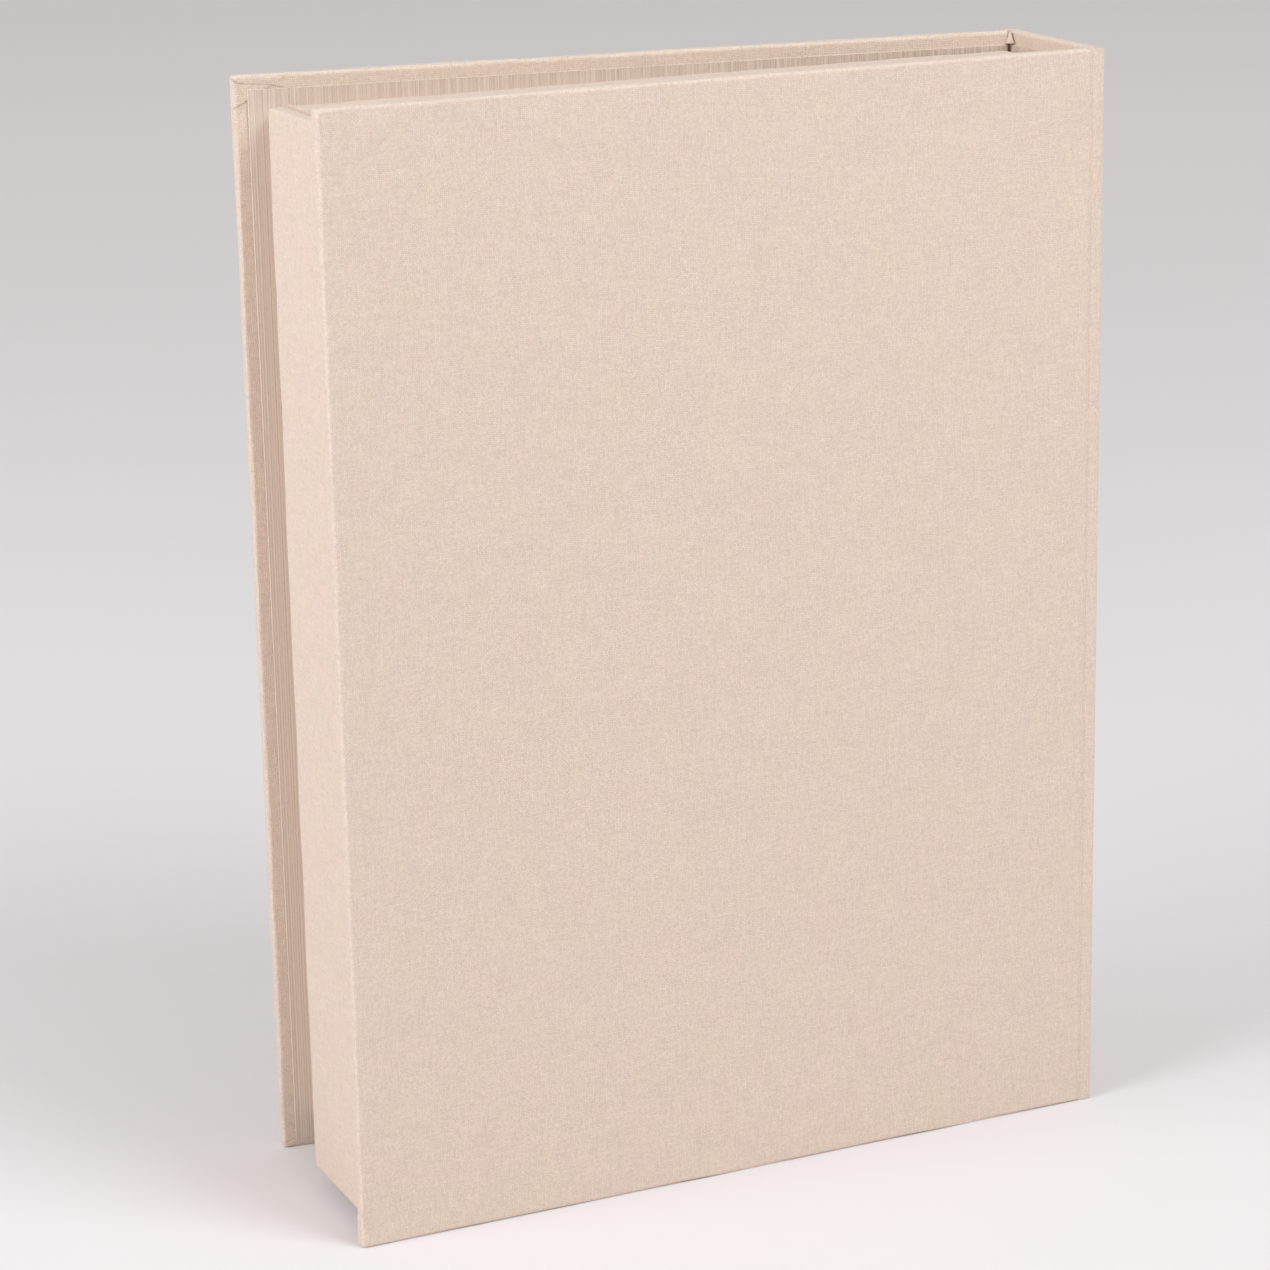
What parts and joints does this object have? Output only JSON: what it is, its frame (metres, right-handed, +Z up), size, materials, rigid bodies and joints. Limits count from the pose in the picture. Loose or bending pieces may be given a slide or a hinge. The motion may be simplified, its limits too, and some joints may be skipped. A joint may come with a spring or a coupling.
{
  "type": "clamshell book box",
  "caption": "Cloth-covered clamshell box for books and papers: flat covers joined to a spine by cloth joints, each carrying a shallow walled tray, the smaller tray nesting in the larger.",
  "frame": {"origin": "under the middle of the standing box, at the level of the surface it stands on", "axes": "+Z up from tail to head; +X from the fore-edge towards the spine; +Y from the front cover towards the back cover"},
  "size_m": [0.2532, 0.086, 0.336],
  "materials": {
    "book_cloth": "matte",
    "greyboard": "matte",
    "ribbed_lining": "matte",
    "joint_cloth": "matte"
  },
  "bodies": {
    "front_cover": {"front_cover_board": "greyboard", "front_cover_cloth": "book_cloth", "front_cover_infill_card": "greyboard", "front_joint_cloth": "book_cloth", "front_joint_lining": "joint_cloth", "large_tray_base_board": "greyboard", "large_tray_floor_lining": "ribbed_lining", "large_tray_fore_edge_board": "greyboard", "large_tray_fore_edge_cloth": "book_cloth", "large_tray_head_board": "greyboard", "large_tray_head_cloth": "book_cloth", "large_tray_tail_board": "greyboard", "large_tray_tail_cloth": "book_cloth"},
    "spine": {"spine_board": "greyboard", "spine_cloth": "book_cloth", "spine_lining": "ribbed_lining"},
    "back_cover": {"back_cover_board": "greyboard", "back_cover_cloth": "book_cloth", "back_cover_lining": "ribbed_lining", "back_joint_cloth": "book_cloth", "back_joint_lining": "joint_cloth", "small_tray_base_board": "greyboard", "small_tray_floor_lining": "ribbed_lining", "small_tray_fore_edge_board": "greyboard", "small_tray_fore_edge_cloth": "book_cloth", "small_tray_head_board": "greyboard", "small_tray_head_cloth": "book_cloth", "small_tray_tail_board": "greyboard", "small_tray_tail_cloth": "book_cloth"}
  },
  "joints": [
    {"name": "front_joint", "type": "hinge", "parent": "front_cover", "child": "spine", "pos_m": [0.12306, -0.04275, 0.168], "axis": [0, 0, -1], "range_deg": [-3.3, 86.7], "deforming": ["front_joint_cloth"]},
    {"name": "back_joint", "type": "hinge", "parent": "spine", "child": "back_cover", "pos_m": [0.12634, 0.01405, 0.168], "axis": [0, 0, -1], "range_deg": [-3.3, 86.7], "deforming": ["back_joint_cloth"]}
  ]
}
